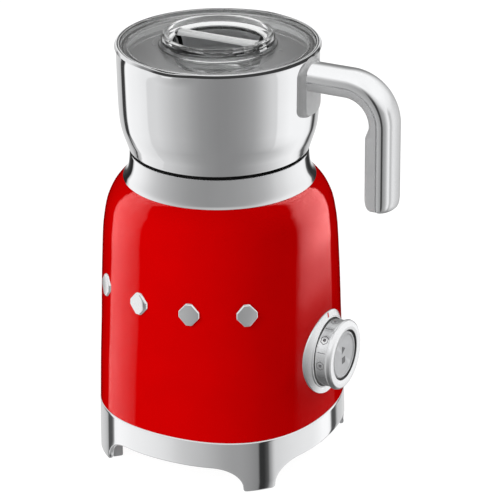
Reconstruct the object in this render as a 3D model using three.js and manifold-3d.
// Countertop induction milk frother: a powered base with a red squircle housing, and a removable
// steel jug with a clear lid, a measuring cap and a side handle. Millimetres, +Z up, front towards
// -Y, handle and selector knob towards +X. Everything is modelled on the body axis, then the group
// is shifted along X so that the middle of its bounding box stands over the origin.
import * as THREE from 'three';
import { mergeVertices } from 'three/addons/utils/BufferGeometryUtils.js';
import Module from 'manifold-3d';

const wasm = await Module();
wasm.setup();
const { degToRad, lerp, clamp, smoothstep } = THREE.MathUtils;

// ---------------------------------------------------------------- driving dimensions
const SHIFT_X = -19.328;       // body axis to the middle of the bounding box
const SEGMENTS = 32;           // round the large turned parts
const CORNER_DEPTH = 0.0248;   // squircle depth at the foot of the body, share of the radius
const Z_SKIRT_TOP = 28.4;      // seam between chrome band and red housing
const Z_HOUSING_TOP = 153.2;
const Z_COLLAR_TOP = 167.6;
const Z_SEAT = 156.4;          // floor of the seat the jug drops into
const R_SEAT = 44.5;           // inside of the seat
const SEAT_WALL = 1.1;
const SENSOR_X = -17;          // axis of the temperature sensor
const KNOB_Z = 64;             // height of the knob axis
// outside of the body: [mean radius, z]
const BODY = [
  [64.5, 28.6], [63.7, 60], [62.57, 96], [61.2, 124.3], [59.9, 135],
  [57.4, 143], [54.3, 148.6], [51.8, 151.6], [50.0, Z_HOUSING_TOP],
];

// ---------------------------------------------------------------- finishes
const FINISH = {
  red: { color: 0xcc0005, roughness: 0.12, metalness: 0 },
  chrome: { color: 0xd9dadd, roughness: 0.08, metalness: 1 },
  steel: { color: 0xc9cacc, roughness: 0.14, metalness: 1 },
  satin: { color: 0xb9babc, roughness: 0.32, metalness: 0.9 },
  grey: { color: 0x9b9c9e, roughness: 0.55, metalness: 0.2 },
  black: { color: 0x141414, roughness: 0.6, metalness: 0 },
  rubber: { color: 0x1c1c1c, roughness: 0.85, metalness: 0 },
  clear: { color: 0xdfe5e6, roughness: 0.05, metalness: 0, transparent: true, opacity: 0.35 },
  white: { color: 0xe8e8e6, roughness: 0.5, metalness: 0 },
  pcb: { color: 0x1f6b3a, roughness: 0.55, metalness: 0 },
  copper: { color: 0xb4622c, roughness: 0.35, metalness: 0.9 },
  ferrite: { color: 0x33312f, roughness: 0.8, metalness: 0.1 },
  zinc: { color: 0x9a9da1, roughness: 0.4, metalness: 0.9 },
  blue: { color: 0x27408b, roughness: 0.4, metalness: 0.1 },
  silicone: { color: 0xd8dcdc, roughness: 0.5, metalness: 0 },
  redmark: { color: 0xc8101a, roughness: 0.4, metalness: 0 },
};

// ---------------------------------------------------------------- meshes and solids
// positions only, welded, without collapsed triangles and wound outwards
function welded(geometry) {
  const bare = new THREE.BufferGeometry();
  bare.setAttribute('position', geometry.attributes.position);
  bare.setIndex(geometry.index);
  const result = mergeVertices(bare, 1e-4);
  const corners = result.index.array;
  const point = (i) => new THREE.Vector3().fromBufferAttribute(result.attributes.position, i);
  const index = [];
  let volume = 0;
  for (let i = 0; i < corners.length; i += 3) {
    const [a, b, c] = corners.slice(i, i + 3);
    if (a === b || b === c || c === a) continue;
    index.push(a, b, c);
    volume += point(a).dot(point(b).cross(point(c)));
  }
  if (volume < 0) {
    for (let i = 0; i < index.length; i += 3) {
      [index[i + 1], index[i + 2]] = [index[i + 2], index[i + 1]];
    }
  }
  result.setIndex(index);
  return result;
}

// a Manifold from a geometry; a Manifold passes through
function solid(shape) {
  if (!(shape instanceof THREE.BufferGeometry)) return shape;
  const geometry = welded(shape);
  return new wasm.Manifold(new wasm.Mesh({
    numProp: 3,
    vertProperties: new Float32Array(geometry.attributes.position.array),
    triVerts: new Uint32Array(geometry.index.array),
  }));
}

function toGeometry(manifold) {
  const mesh = manifold.getMesh();
  const geometry = new THREE.BufferGeometry();
  const positions = new Float32Array(mesh.vertProperties);
  geometry.setAttribute('position', new THREE.BufferAttribute(positions, 3));
  geometry.setIndex(new THREE.BufferAttribute(new Uint32Array(mesh.triVerts), 1));
  return geometry;
}

const cut = (body, ...tools) => tools.reduce((rest, tool) => rest.subtract(solid(tool)), solid(body));
const join = (...shapes) => shapes.map(solid).reduce((sum, shape) => sum.add(shape));

const model = new THREE.Group();
model.position.x = SHIFT_X;

function part(name, finish, shape) {
  const material = new THREE.MeshStandardMaterial(FINISH[finish]);
  const mesh = new THREE.Mesh(toGeometry(solid(shape)), material);
  mesh.name = name;
  model.add(mesh);
}

// ---------------------------------------------------------------- shape helpers
// moves every vertex to move(x, y, z)
function reshape(geometry, move) {
  const position = geometry.attributes.position;
  for (let i = 0; i < position.count; i++) {
    position.setXYZ(i, ...move(position.getX(i), position.getY(i), position.getZ(i)));
  }
  return geometry;
}

// profile of [r, z] turned about Z; warp(r, angle, z) may move each vertex off the axis.
// A profile that starts away from the axis is closed into a ring.
function lathe(profile, segments = SEGMENTS, warp = null) {
  const points = profile.map(([r, z]) => new THREE.Vector2(r, z));
  if (profile[0][0] > 1e-6) points.push(points[0].clone());
  const geometry = new THREE.LatheGeometry(points, segments).rotateX(Math.PI / 2);
  if (!warp) return geometry;
  return reshape(geometry, (x, y, z) => {
    const r = Math.hypot(x, y);
    return r < 1e-6 ? [x, y, z] : warp(r, Math.atan2(y, x), z);
  });
}

const disc = (r, z0, z1, segments) => lathe([[0, z0], [r, z0], [r, z1], [0, z1]], segments);
const ring = (r0, r1, z0, z1, segments) =>
  lathe([[r0, z0], [r1, z0], [r1, z1], [r0, z1]], segments);

// box from its [low, high] range on each axis
function box([x0, x1], [y0, y1], [z0, z1]) {
  const geometry = new THREE.BoxGeometry(x1 - x0, y1 - y0, z1 - z0);
  return geometry.translate((x0 + x1) / 2, (y0 + y1) / 2, (z0 + z1) / 2);
}

// cylinder along X about its centre
const rodX = (r, length, centre) =>
  new THREE.CylinderGeometry(r, r, length, 12).rotateZ(Math.PI / 2).translate(...centre);

function polar(r, degrees) {
  const angle = degToRad(degrees);
  return [r * Math.cos(angle), r * Math.sin(angle)];
}

function polygon(points) {
  const shape = new THREE.Shape(points.map(([x, y]) => new THREE.Vector2(x, y)));
  shape.closePath();
  return shape;
}

function roundedRect(width, height, r) {
  const shape = new THREE.Shape();
  shape.moveTo(r - width / 2, -height / 2);
  shape.lineTo(width / 2 - r, -height / 2);
  [[1, -1], [1, 1], [-1, 1], [-1, -1]].forEach(([sideX, sideY], i) => {
    const x = sideX * (width / 2 - r);
    const y = sideY * (height / 2 - r);
    shape.absarc(x, y, r, (i - 1) * Math.PI / 2, i * Math.PI / 2);
  });
  return shape;
}

const extrude = (shape, depth, curveSegments = 4) =>
  new THREE.ExtrudeGeometry(shape, { depth, bevelEnabled: false, curveSegments });

function tube(points, r, steps, sides) {
  const section = polygon(Array.from({ length: sides }, (_, i) => polar(r, 360 * i / sides)));
  const vectors = points.map((point) => new THREE.Vector3(...point));
  const extrudePath = new THREE.CatmullRomCurve3(vectors, false, 'centripetal');
  return new THREE.ExtrudeGeometry(section, { steps, bevelEnabled: false, extrudePath });
}

// coil spring about Z, eight steps to the turn
function spring({ r, z0, z1, turns, wire }) {
  const steps = turns * 8;
  const points = [];
  for (let i = 0; i <= steps; i++) points.push([...polar(r, 45 * i), lerp(z0, z1, i / steps)]);
  return tube(points, wire, steps, 4);
}

// geometry made about +Z, laid on the knob axis along +X
const onKnobAxis = (geometry) => geometry.rotateY(Math.PI / 2).translate(0, 0, KNOB_Z);

// squircle section: deepest at the foot of the body, round at the housing top
function squircle(r, z, angle) {
  const share = clamp((Z_HOUSING_TOP - z) / (Z_HOUSING_TOP - Z_SKIRT_TOP), 0, 1);
  return r * (1 + CORNER_DEPTH * share * Math.cos(4 * (angle - Math.PI / 4)));
}

// sectionZ is the height whose squircle is used
function squircleWarp(r, angle, z, sectionZ = z) {
  const q = squircle(r, sectionZ, angle);
  return [q * Math.cos(angle), q * Math.sin(angle), z];
}

const footWarp = (r, angle, z) => squircleWarp(r, angle, z, Z_SKIRT_TOP);

// ================================================================ outer casing
const STUD_Z = 100;
const STUD_ANGLES = [-41.5, -14.2, 13.1, 40.4];   // degrees from the front
const STUD = { width: 11, height: 12, point: 1.5, depth: 2.1, radius: 61.45 };
const STUD_POCKET = { width: 11.4, height: 12.4, point: 1.7, depth: 8, radius: 61.3 };

// upright lozenge with its four points cut off, extruded outwards from the given radius
function lozenge({ width, height, point, depth, radius }, degrees) {
  const [w, h] = [width / 2, height / 2];
  const outline = polygon([
    [-point, -h], [point, -h], [w, -point], [w, point],
    [point, h], [-point, h], [-w, point], [-w, -point],
  ]);
  return extrude(outline, depth)
    .rotateX(Math.PI / 2)
    .translate(0, -radius, 0)
    .rotateZ(degToRad(degrees))
    .translate(0, 0, STUD_Z);
}

const HOUSING_INNER = [   // [r, z]
  [46.3, Z_HOUSING_TOP], [46.3, 151.0], [50.8, 149.4], [55.2, 142.6], [58.6, 126], [62.2, 28.6],
];
part('housing_shell', 'red', cut(
  lathe([...BODY, ...HOUSING_INNER], SEGMENTS, squircleWarp),
  onKnobAxis(disc(17.0, 50, 75, 32)),
  ...STUD_ANGLES.map((angle) => lozenge(STUD_POCKET, angle)),
));
STUD_ANGLES.forEach((angle, i) => part(`trim_stud_${i + 1}`, 'chrome', lozenge(STUD, angle)));

part('collar_ring', 'chrome', lathe([
  [50.2, 153.4], [48.9, 154.8], [47.9, 157.0], [47.15, 160], [46.7, 164],
  [46.5, Z_COLLAR_TOP - 0.3], [46.2, Z_COLLAR_TOP], [45.95, Z_COLLAR_TOP], [45.95, 153.4],
]));

// ---------------------------------------------------------------- chrome band with four legs
const Z_ARCH = 13.7;       // arch edge between the legs
const Z_LEG = 0.4;         // metal edge of a leg above the floor
const LEG_HALF = 7.2;      // degrees, half width of a leg's foot
const ARCH_START = 22.5;   // degrees from the leg centre where its flank meets the arch
const R_BAND = 64.75;      // outside at the lower edge
const R_BAND_INNER = R_BAND - 2.2;
// vertex columns, degrees from a leg centre out to the middle of the arch
const HALF_COLUMNS = [0, 3.6, LEG_HALF, 7.6, 8.8, 10.8, 13.8, 17.6, ARCH_START, 29, 36, 45];
const LEG_COLUMNS = [
  ...HALF_COLUMNS.map((offset) => -offset).reverse(),
  ...HALF_COLUMNS.slice(1, -1),
];
const BAND_COLUMNS = 4 * LEG_COLUMNS.length;

function bandLowerEdge(offset) {
  const t = clamp((ARCH_START - Math.abs(offset)) / (ARCH_START - LEG_HALF), 0, 1);
  return Z_ARCH - (Z_ARCH - Z_LEG) * (1 - Math.sqrt(1 - t * t));
}

// re-spaces the even columns to fall on the leg outline and lays the z = 0 edge on the arches
function bandWarp(r, angle, z) {
  const turns = angle / (2 * Math.PI);
  const column = Math.round(turns * BAND_COLUMNS + BAND_COLUMNS) % BAND_COLUMNS;
  const leg = Math.floor(column / LEG_COLUMNS.length);
  const offset = LEG_COLUMNS[column % LEG_COLUMNS.length];
  return footWarp(r, degToRad(45 + 90 * leg + offset), z > 1 ? z : bandLowerEdge(offset));
}

part('base_skirt', 'chrome', lathe([
  [R_BAND, 0], [R_BAND - 0.2, Z_SKIRT_TOP], [R_BAND_INNER, Z_SKIRT_TOP], [R_BAND_INNER, 0],
], BAND_COLUMNS, bandWarp));

// foot block behind each leg
for (let i = 0; i < 4; i++) {
  const pad = extrude(roundedRect(12.8, 6.2, 1.5), 7.4, 2);
  part(`foot_pad_${i + 1}`, 'grey', pad.translate(0, -60.6, 0).rotateZ(degToRad(45 + 90 * i)));
}

// ---------------------------------------------------------------- underside
const SCREW_PLACES = [0, 1, 2, 3].map((i) => polar(46, 22.5 + 90 * i));

// two slots on each of the four sides
const coverSlots = [0, 90, 180, 270].flatMap((angle) => [-6, 6].map((x) =>
  extrude(roundedRect(3.0, 9.0, 1.4), 8, 1).translate(x, -49.2, 21).rotateZ(degToRad(angle))));
part('bottom_cover', 'black', cut(
  lathe([[0, 24.6], [55.2, 24.6], [55.2, 27.0], [0, 27.0]], SEGMENTS, footWarp),
  ...SCREW_PLACES.map(([x, y]) => disc(1.9, 20, 30, 12).translate(x, y, 0)),
  ...coverSlots,
));
SCREW_PLACES.forEach(([x, y], i) => part(`cover_screw_${i + 1}`, 'zinc', lathe([
  [0, 22.9], [3.0, 22.9], [3.3, 23.4], [3.3, 24.4], [1.6, 24.4], [1.6, 34], [0, 34],
], 12).translate(x, y, 0)));

// drum under the cover, cut open on its -X side where the cord leaves the parked plug
part('cord_winder', 'black', cut(
  lathe([[28.6, 13.2], [34.2, 13.2], [34.2, 14.6], [30.9, 14.6], [30.9, 24.3], [28.6, 24.3]], 28),
  box([-36, -20], [-14.5, 3.9], [12, 22.4]),
));

const PLUG_Z = 18.4;
const CORD_Z = 18.2;
const CORD_START = 204;   // degrees, first point on the drum
const CORD_SWEEP = 560;   // degrees wound round the drum
const CORD_R = 34.6;      // winding radius at the start
const CORD_PITCH = 6.9;   // growth of the winding radius per turn

const cordPoints = [[-26.4, 0, PLUG_Z], [-30.5, 0, PLUG_Z]];
for (let angle = 0; angle <= CORD_SWEEP; angle += 20) {
  const r = CORD_R + CORD_PITCH * angle / 360;
  cordPoints.push([...polar(r, CORD_START + angle), CORD_Z]);
}
part('power_cord', 'black', tube(cordPoints, 2.9, 52, 6));

// bored block on the outer end of the cord, along the winding and 1.4 degrees short of square
{
  const block = cut(box([-4.6, 13], [-4.4, 4.4], [13.4, 24.3]), rodX(3.65, 14, [0.4, 0, CORD_Z]));
  const [x, y] = cordPoints.at(-1);
  part('strain_relief', 'black', toGeometry(block)
    .rotateZ(degToRad(CORD_START + CORD_SWEEP + 90 - 1.4))
    .translate(x, y, 0));
}

// flat two-pin plug, pins towards +X
const PLUG_DEPTH = 9.0;
const PIN_PLACES = [-9.5, 9.5];   // y of each pin
const PLUG_OUTLINE = [            // [x, y]
  [-17, -4.6], [-9, -9.5], [0, -15.2], [5, -16.6], [5, 16.6],
  [0, 15.2], [-9, 9.5], [-17, 4.6], [-26, 4.1], [-26, -4.1],
];
const plugBlock = new THREE.ExtrudeGeometry(polygon(PLUG_OUTLINE), {
  depth: PLUG_DEPTH,
  bevelEnabled: true,
  bevelThickness: 0.8,
  bevelSize: 0.8,
  bevelOffset: -0.8,
  bevelSegments: 1,
});
part('plug_body', 'black', cut(
  plugBlock.translate(0, 0, PLUG_Z - PLUG_DEPTH / 2),
  rodX(3.2, 3, [-26.2, 0, PLUG_Z]),
  ...PIN_PLACES.map((y) => rodX(2.15, 8, [4, y, PLUG_Z])),
));
PIN_PLACES.forEach((y, i) => part(`plug_pin_${i + 1}`, 'zinc', rodX(2.0, 21, [11.7, y, PLUG_Z])));

// ================================================================ inside the base
// plate on three posts
part('chassis', 'white', join(
  lathe([[14.6, 134], [52, 134], [52, 136.4], [14.6, 136.4]], 32),
  ...[60, 180, 300].map((angle) => disc(3.4, 27.3, 135, 12).translate(...polar(48, angle), 0)),
));
part('seat_cup', 'black', cut(
  lathe([
    [0, 154.2], [43.4, 154.2], [43.4, 148.0], [49.2, 148.0], [49.2, 149.2],
    [R_SEAT + SEAT_WALL, 150.6], [R_SEAT + SEAT_WALL, Z_COLLAR_TOP - 0.7],
    [R_SEAT, Z_COLLAR_TOP - 0.7], [R_SEAT, Z_SEAT + 1.4], [R_SEAT - 1.4, Z_SEAT], [0, Z_SEAT],
  ]),
  disc(2.6, 150, 160, 14).translate(SENSOR_X, 0, 0),
));
part('seat_gasket', 'rubber', lathe([
  [44.75, 167.75], [46.0, 167.75], [46.15, 168.3], [45.9, 169.1], [44.95, 169.1],
]));
part('coil_former', 'white', lathe([
  [20.5, 143.6], [43.0, 143.6], [43.0, 152.6], [41.9, 152.6],
  [41.9, 145.0], [21.9, 145.0], [21.9, 152.6], [20.5, 152.6],
], 24));

// solid winding with a four-tooth top
const COIL_R = 41.4;
const COIL_PITCH = 4.75;
const coilProfile = [[22.4, 145.4], [COIL_R, 145.4]];
for (let i = 0; i < 4; i++) {
  const outer = COIL_R - i * COIL_PITCH;
  coilProfile.push([outer - 0.4, 151.2], [outer - COIL_PITCH + 0.4, 150.6]);
}
part('induction_coil', 'copper', lathe(coilProfile, 24));
part('ferrite_ring', 'ferrite', ring(21, 42, 138.6, 143.1, 24));

part('motor_body', 'zinc', lathe([
  [0, 106], [4, 106], [4.6, 108], [13.2, 108], [14.0, 109.4], [14.0, 133.6], [14.0, 138.2],
  [13.2, 139.6], [5, 139.6], [5, 141.0], [1.75, 141.0], [1.75, 136], [0, 136],
], 16));
part('motor_shaft', 'steel', disc(1.5, 136.6, 149.2, 12));
part('magnet_carrier', 'white', lathe([
  [1.65, 142.2], [13.0, 142.2], [13.6, 143], [13.6, 152.4], [12.4, 152.4], [12.4, 145.6],
  [5.6, 145.6], [5.6, 152.4], [0, 152.4], [0, 149.8], [1.65, 149.8],
], 18));
part('drive_magnets', 'ferrite', ring(5.9, 12.1, 145.9, 152.2, 16));

part('temperature_sensor', 'zinc', lathe([
  [0, 148.4], [3.1, 148.4], [3.1, 150.4], [2.3, 150.4], [2.3, 156.2], [1.9, 156.6], [0, 156.6],
], 14).translate(SENSOR_X, 0, 0));
part('sensor_spring', 'zinc',
  spring({ r: 2.3, z0: 137.0, z1: 147.8, turns: 4, wire: 0.35 }).translate(SENSOR_X, 0, 0));

// electronics: an upright board behind the axis, its components on the front face
part('control_board', 'pcb', box([-30, 30], [32.0, 33.6], [40, 112]));
part('smoothing_capacitor', 'blue', lathe([
  [0, 0], [8.6, 0], [9, 0.5], [9, 19.6], [8.6, 20], [0, 20],
], 20).rotateX(Math.PI / 2).translate(-16, 31.8, 98));
part('filter_choke', 'copper',
  new THREE.TorusGeometry(9, 4.2, 6, 14).rotateX(Math.PI / 2).translate(14, 27.2, 96));

const SINK_Y = [17.5, 31.7];
const finStarts = [0, 1, 2, 3, 4].map((i) => -12 + i * 5.5);
part('heatsink', 'satin', join(
  box([-12, 12], SINK_Y, [64, 67]),
  ...finStarts.map((x) => box([x, x + 2], SINK_Y, [66, 80])),
));
part('mains_lead', 'black',
  tube([[-16, 30.2, 52], [-16, 27, 42], [-12, 23, 34], [-6, 20, 30]], 1.6, 12, 6));

// ================================================================ selector knob, axis +X
// profiles are [distance from the knob axis, x]
const KNOB_R = 18.2;
const BEZEL_R = 22.5;
const BUTTON_R = 12.6;
const X_GAP = 64;       // plane between bezel and turning ring
const MARK_Z = KNOB_Z + 20.5;
const knob = (profile, segments = 24) => onKnobAxis(lathe(profile, segments));

// x of the body's outer surface at a given y and height
function bodyX(y, z) {
  const i = BODY.findIndex(([, top]) => z <= top);
  const [[r0, z0], [r1, z1]] = [BODY[i - 1], BODY[i]];
  const mean = lerp(r0, r1, (z - z0) / (z1 - z0));
  let x = Math.sqrt(mean * mean - y * y);
  for (let pass = 0; pass < 4; pass++) {
    const q = squircle(mean, z, Math.atan2(y, x));
    x = Math.sqrt(q * q - y * y);
  }
  return x;
}

// profile points below 10 are heights above the curved body surface, the others are plain x
function bezelWarp(r, angle, height) {
  const x = r * Math.cos(angle);   // turns to -Z on the knob axis
  const y = r * Math.sin(angle);
  return [x, y, height > 10 ? height : bodyX(y, KNOB_Z - x) + height];
}

part('knob_bezel', 'chrome', cut(
  onKnobAxis(lathe([
    [14.6, 53], [16.6, 53], [16.62, 0.12], [BEZEL_R - 0.6, 0.12], [BEZEL_R, 0.3],
    [BEZEL_R - 0.5, 0.9], [20.6, 62.9], [19.2, X_GAP - 0.3], [18.7, X_GAP - 0.15],
    [14.6, X_GAP - 0.15],
  ], 36, bezelWarp)),
  box([62.9, 65], [-0.75, 0.75], [MARK_Z - 1.1, MARK_Z + 1.1]),
));
part('index_mark', 'redmark', box([62.95, 63.35], [-0.6, 0.6], [MARK_Z - 1, MARK_Z + 1]));
part('selector_ring', 'satin', knob([
  [13.4, 49.6], [14.2, 49.6], [14.2, X_GAP - 0.1], [17.3, X_GAP + 0.15], [17.75, X_GAP + 0.6],
  [17.85, 70.2], [KNOB_R + 0.3, 70.9], [KNOB_R + 0.3, 72.2], [KNOB_R - 0.5, 73.2],
  [KNOB_R - 1.8, 73.5], [13.5, 73.1], [13.2, 72.6],
]));
part('start_button', 'grey', knob([
  [0, 51.2], [1.9, 51.2], [1.9, 66.2], [12.2, 66.2], [BUTTON_R, 66.8], [BUTTON_R, 72.2],
  [12.2, 72.7], [11.2, 72.8], [10.9, 72.35], [0, 72.2],
]));
part('knob_core', 'white', knob([
  [9.5, 48.3], [12.9, 48.3], [12.9, 53.6], [8.6, 54.4], [8.6, 60.6], [12.6, 61.2], [12.6, 62.3],
  [8.8, 62.3], [7.4, 60.0], [2.3, 60.0], [2.3, 51.5], [9.5, 51.5],
], 16));
part('button_spring', 'zinc',
  onKnobAxis(spring({ r: 4.2, z0: 60.4, z1: 65.6, turns: 3, wire: 0.4 })));
part('selector_board', 'pcb', box([46.4, 48.0], [-17, 17], [KNOB_Z - 17, KNOB_Z + 17]));
part('start_switch', 'black', box([48.2, 49.4], [-3, 3], [KNOB_Z - 3, KNOB_Z + 3]));

// ================================================================ jug
const Z_JUG_BOTTOM = 157.4;
const R_PLUG = 43.6;      // lower step of the jug that drops into the seat
const Z_RIM = 226.0;
const R_RIM = 52.5;
const LIP_OUT = 1.3;      // how far each pouring lip stands out
const LIP_HALF = 17.55;   // degrees, half width of a pouring lip
const Z_LIP_FOOT = 217.5;
// outside of the jug above its step: [r, z]
const JUG_OUTER = [
  [46.5, 169.35], [47.3, 170.6], [48.5, 174.6], [50.05, 179.5], [51.25, 186],
  [51.85, 197], [52.08, 211], [52.3, 222.5], [52.75, 225.0],
];
// inside of the jug, from the rim down to the floor: [r, z]
const JUG_INNER = [
  [51.45, 223.5], [51.15, 211], [50.9, 197], [50.3, 186], [49.1, 179.6],
  [46.2, 170.8], [42.9, 170.1], [42.6, 160.8], [40.6, 158.6], [0, 158.6],
];

// two shallow pouring lips, one at the front and one at the back
function lipWarp(r, angle, z) {
  const off = Math.abs(Math.abs(angle) - Math.PI / 2) * 180 / Math.PI;
  const spread = off < LIP_HALF ? 0.5 + 0.5 * Math.cos(Math.PI * off / LIP_HALF) : 0;
  const q = r + LIP_OUT * spread * smoothstep(z, Z_LIP_FOOT, Z_RIM);
  return [q * Math.cos(angle), q * Math.sin(angle), z];
}

part('jug_shell', 'steel', lathe([
  [0, Z_JUG_BOTTOM], [40.6, Z_JUG_BOTTOM], [42.7, 158.3], [R_PLUG, 160.4], [R_PLUG, 168.6],
  [44.3, 169.3], ...JUG_OUTER, [R_RIM - 0.1, Z_RIM], [R_RIM - 0.6, 225.7], ...JUG_INNER,
], 40, lipWarp));
part('jug_base_disc', 'satin', ring(6, 38, 156.72, 157.3, 28));
part('whisk_pin', 'steel', lathe([
  [0, 158.7], [5.2, 158.7], [5.2, 159.3], [2.0, 159.6], [1.8, 160.2],
  [1.8, 167.2], [1.0, 168.0], [0, 168.0],
], 10));
part('whisk_hub', 'black', lathe([
  [2.1, 160.0], [5.2, 160.0], [5.2, 163.2], [12.0, 163.2], [12.0, 160.0], [14.0, 160.0],
  [14.0, 164.2], [6.0, 165.4], [5.0, 166.6], [5.0, 169.9], [3.2, 169.9], [3.2, 172.9],
  [0, 172.9], [0, 168.4], [2.1, 168.4],
], 18));
part('whisk_magnets', 'ferrite', ring(5.45, 11.75, 160.2, 162.95, 16));

// thin disc with nine waves round its edge, a bored boss and six slots
{
  const outline = Array.from({ length: 36 }, (_, i) =>
    polar(18.4 + 1.3 * Math.cos(degToRad(90 * i)), 10 * i));
  const slots = [0, 1, 2, 3, 4, 5].map((i) =>
    extrude(roundedRect(7.2, 4.4, 1.8), 6, 1).translate(11.4, 0, -2).rotateZ(degToRad(60 * i)));
  const blank = join(extrude(polygon(outline), 1.4), disc(5.4, 0, 3.0, 12));
  const pierced = cut(blank, disc(3.45, -1, 5, 12), ...slots);
  part('froth_disc', 'black', toGeometry(pierced).translate(0, 0, 170.1));
}

// ---------------------------------------------------------------- handle
const BRACKET = { x: 46, depth: 8.6, half: 8.4, topZ: 216.5, footZ: 201.5, footR: 5, flare: 1.42 };
// jug side that the bracket is trimmed to: [r, z]
const BRACKET_TRIM = [
  [0, 180], [50.0, 180], [51.2, 184.2], [51.81, 192.1], [52.10, 203.4], [52.27, 214.7],
  [52.45, 222.5], [52.9, 225.0], [53, 232], [0, 232],
];

// block with an arched top and rounded foot, wider towards the jug
function handleBracket() {
  const { x: x0, depth, half, topZ, footZ, footR, flare } = BRACKET;
  const footY = half - footR;
  const outline = new THREE.Shape();   // in Y and Z
  outline.moveTo(-half, 204);
  outline.lineTo(-half, topZ);
  outline.absarc(0, topZ, half, Math.PI, 0, true);
  outline.lineTo(half, footZ);
  outline.absarc(footY, footZ, footR, 0, -Math.PI / 2, true);
  outline.lineTo(-footY, footZ - footR);
  outline.absarc(-footY, footZ, footR, -Math.PI / 2, -Math.PI, true);
  outline.closePath();
  // made into a clean straight block before it is flared
  const block = toGeometry(solid(extrude(outline, depth, 5)))
    .rotateX(Math.PI / 2).rotateZ(Math.PI / 2).translate(x0, 0, 0);
  reshape(block, (x, y, z) => [x, y * lerp(flare, 1, clamp((x - x0) / depth, 0, 1)), z]);
  return cut(block, lathe(BRACKET_TRIM, 40));
}
part('handle_bracket', 'grey', handleBracket());

// cover and insert meet on a parting surface: a level run, a bend and an upright run
const PARTING = { startX: 54.8, z: 214.3, x: 93.2, bendR: 18 };
const Z_BEND_END = PARTING.z - PARTING.bendR;
const Z_TAPER = 158;          // the end of the grip narrows below this
const Z_HANDLE_END = 151.2;
const Z_GRIP_FULL = 189.4;    // the insert reaches its full grip thickness here
const BEND_STEPS = 7;

// Sweeps an outline of [outward, across] along the parting path, down through the given
// heights of the upright run. adjust(outward, across, z) alters the outline at each station.
function sweep(section, heights, adjust) {
  const { startX, z: levelZ, x: uprightX, bendR } = PARTING;
  const stations = [[startX, levelZ, 0, 1]];   // [x, z, outward x, outward z]
  for (let i = 0; i <= BEND_STEPS; i++) {
    const [outX, outZ] = polar(1, 90 * (1 - i / BEND_STEPS));
    stations.push([uprightX - bendR + bendR * outX, Z_BEND_END + bendR * outZ, outX, outZ]);
  }
  for (const z of heights) stations.push([uprightX, z, 1, 0]);
  const steps = stations.length - 1;
  const straight = new THREE.ExtrudeGeometry(polygon(section), {
    depth: steps,
    steps,
    bevelEnabled: false,
  });
  return reshape(straight, (x, y, row) => {
    const [stationX, stationZ, outX, outZ] = stations[Math.round(row)];
    const [outward, across] = adjust(x, y, stationZ);
    return [stationX + outX * outward, across, stationZ + outZ * outward];
  });
}

// 1 above the taper, falling along an ellipse towards the end of the handle
function taper(z, drop) {
  const t = Math.max(0, (Z_TAPER - z) / (Z_TAPER - Z_HANDLE_END));
  return Math.sqrt(1 - drop * t * t);
}
const narrowed = (across, scale) => across * (0.86 + 0.14 * scale);

const coverSection = [[0.65, -8.8], [0.65, 8.8], [1.8, 9.0]];
for (let i = 1; i < 8; i++) {
  const angle = Math.PI * i / 8;
  coverSection.push([1.8 + 6.8 * Math.sin(angle), 9.0 * Math.cos(angle)]);
}
coverSection.push([1.8, -9.0]);
const COVER_HEIGHTS = [190, 170, Z_TAPER, 155.6, 153.4, 152, Z_HANDLE_END];
part('handle_cover', 'chrome', sweep(coverSection, COVER_HEIGHTS, (outward, across, z) => {
  const scale = taper(z, 0.82);
  return [Math.min(outward, 0.05 + 8.55 * scale), narrowed(across, scale)];
}));

const INSERT_SECTION = [
  [0.5, 8.5], [0.5, -8.5], [-2.9, -8.5], [-4.2, -7.4],
  [-4.8, -5.6], [-4.8, 5.6], [-4.2, 7.4], [-2.9, 8.5],
];
const INSERT_HEIGHTS = [
  194, 191.6, Z_GRIP_FULL, 170, Z_TAPER, 155.4, 153.2, 152, Z_HANDLE_END + 0.2,
];
part('handle_insert', 'grey', sweep(INSERT_SECTION, INSERT_HEIGHTS, (outward, across, z) => {
  const scale = taper(z, 0.85);
  const extra = outward < 0 ? 2.0 * (1 - smoothstep(z, Z_GRIP_FULL, Z_BEND_END)) : 0;
  return [0.5 + (outward - extra - 0.5) * (0.35 + 0.65 * scale), narrowed(across, scale)];
}));

// ================================================================ lid and measuring cap
part('lid_plate', 'clear', lathe([
  [24.2, 223.2], [47.0, 223.2], [47.2, 215.6], [49.0, 215.6], [49.0, 217.6], [48.6, 217.8],
  [48.6, 221.0], [49.2, 223.2], [51.0, 223.5], [50.8, 225.0], [24.2, 225.0],
], 32));
part('lid_seal', 'silicone', lathe([
  [48.75, 218.0], [49.6, 217.9], [50.95, 219.6], [50.7, 220.4], [48.75, 220.4],
], 32));
part('cap_seal', 'silicone', ring(24.6, 27.6, 225.15, 225.9, 24));

// cup with a bar across its inside, the bar trimmed to the hollow
{
  const cup = lathe([
    [0, 212.6], [20.4, 212.6], [22.0, 213.6], [23.6, 226.05], [29.3, 226.05], [29.3, 228.6],
    [28.4, 230.4], [27.4, 230.7], [26.2, 230.5], [25.4, 229.4], [22.2, 225.5], [20.4, 215.0],
    [19.4, 214.2], [0, 214.2],
  ], 28);
  const hollow = lathe([
    [0, 213.4], [21, 213.4], [22.2, 222], [24.0, 227.6], [24.4, 228.9], [0, 228.9],
  ], 28);
  const bar = extrude(roundedRect(60, 3.2, 1.2), 16, 3).translate(0, 0, 213.4);
  part('measuring_cap', 'clear', join(cup, solid(bar).intersect(solid(hollow))));
}

export default model;
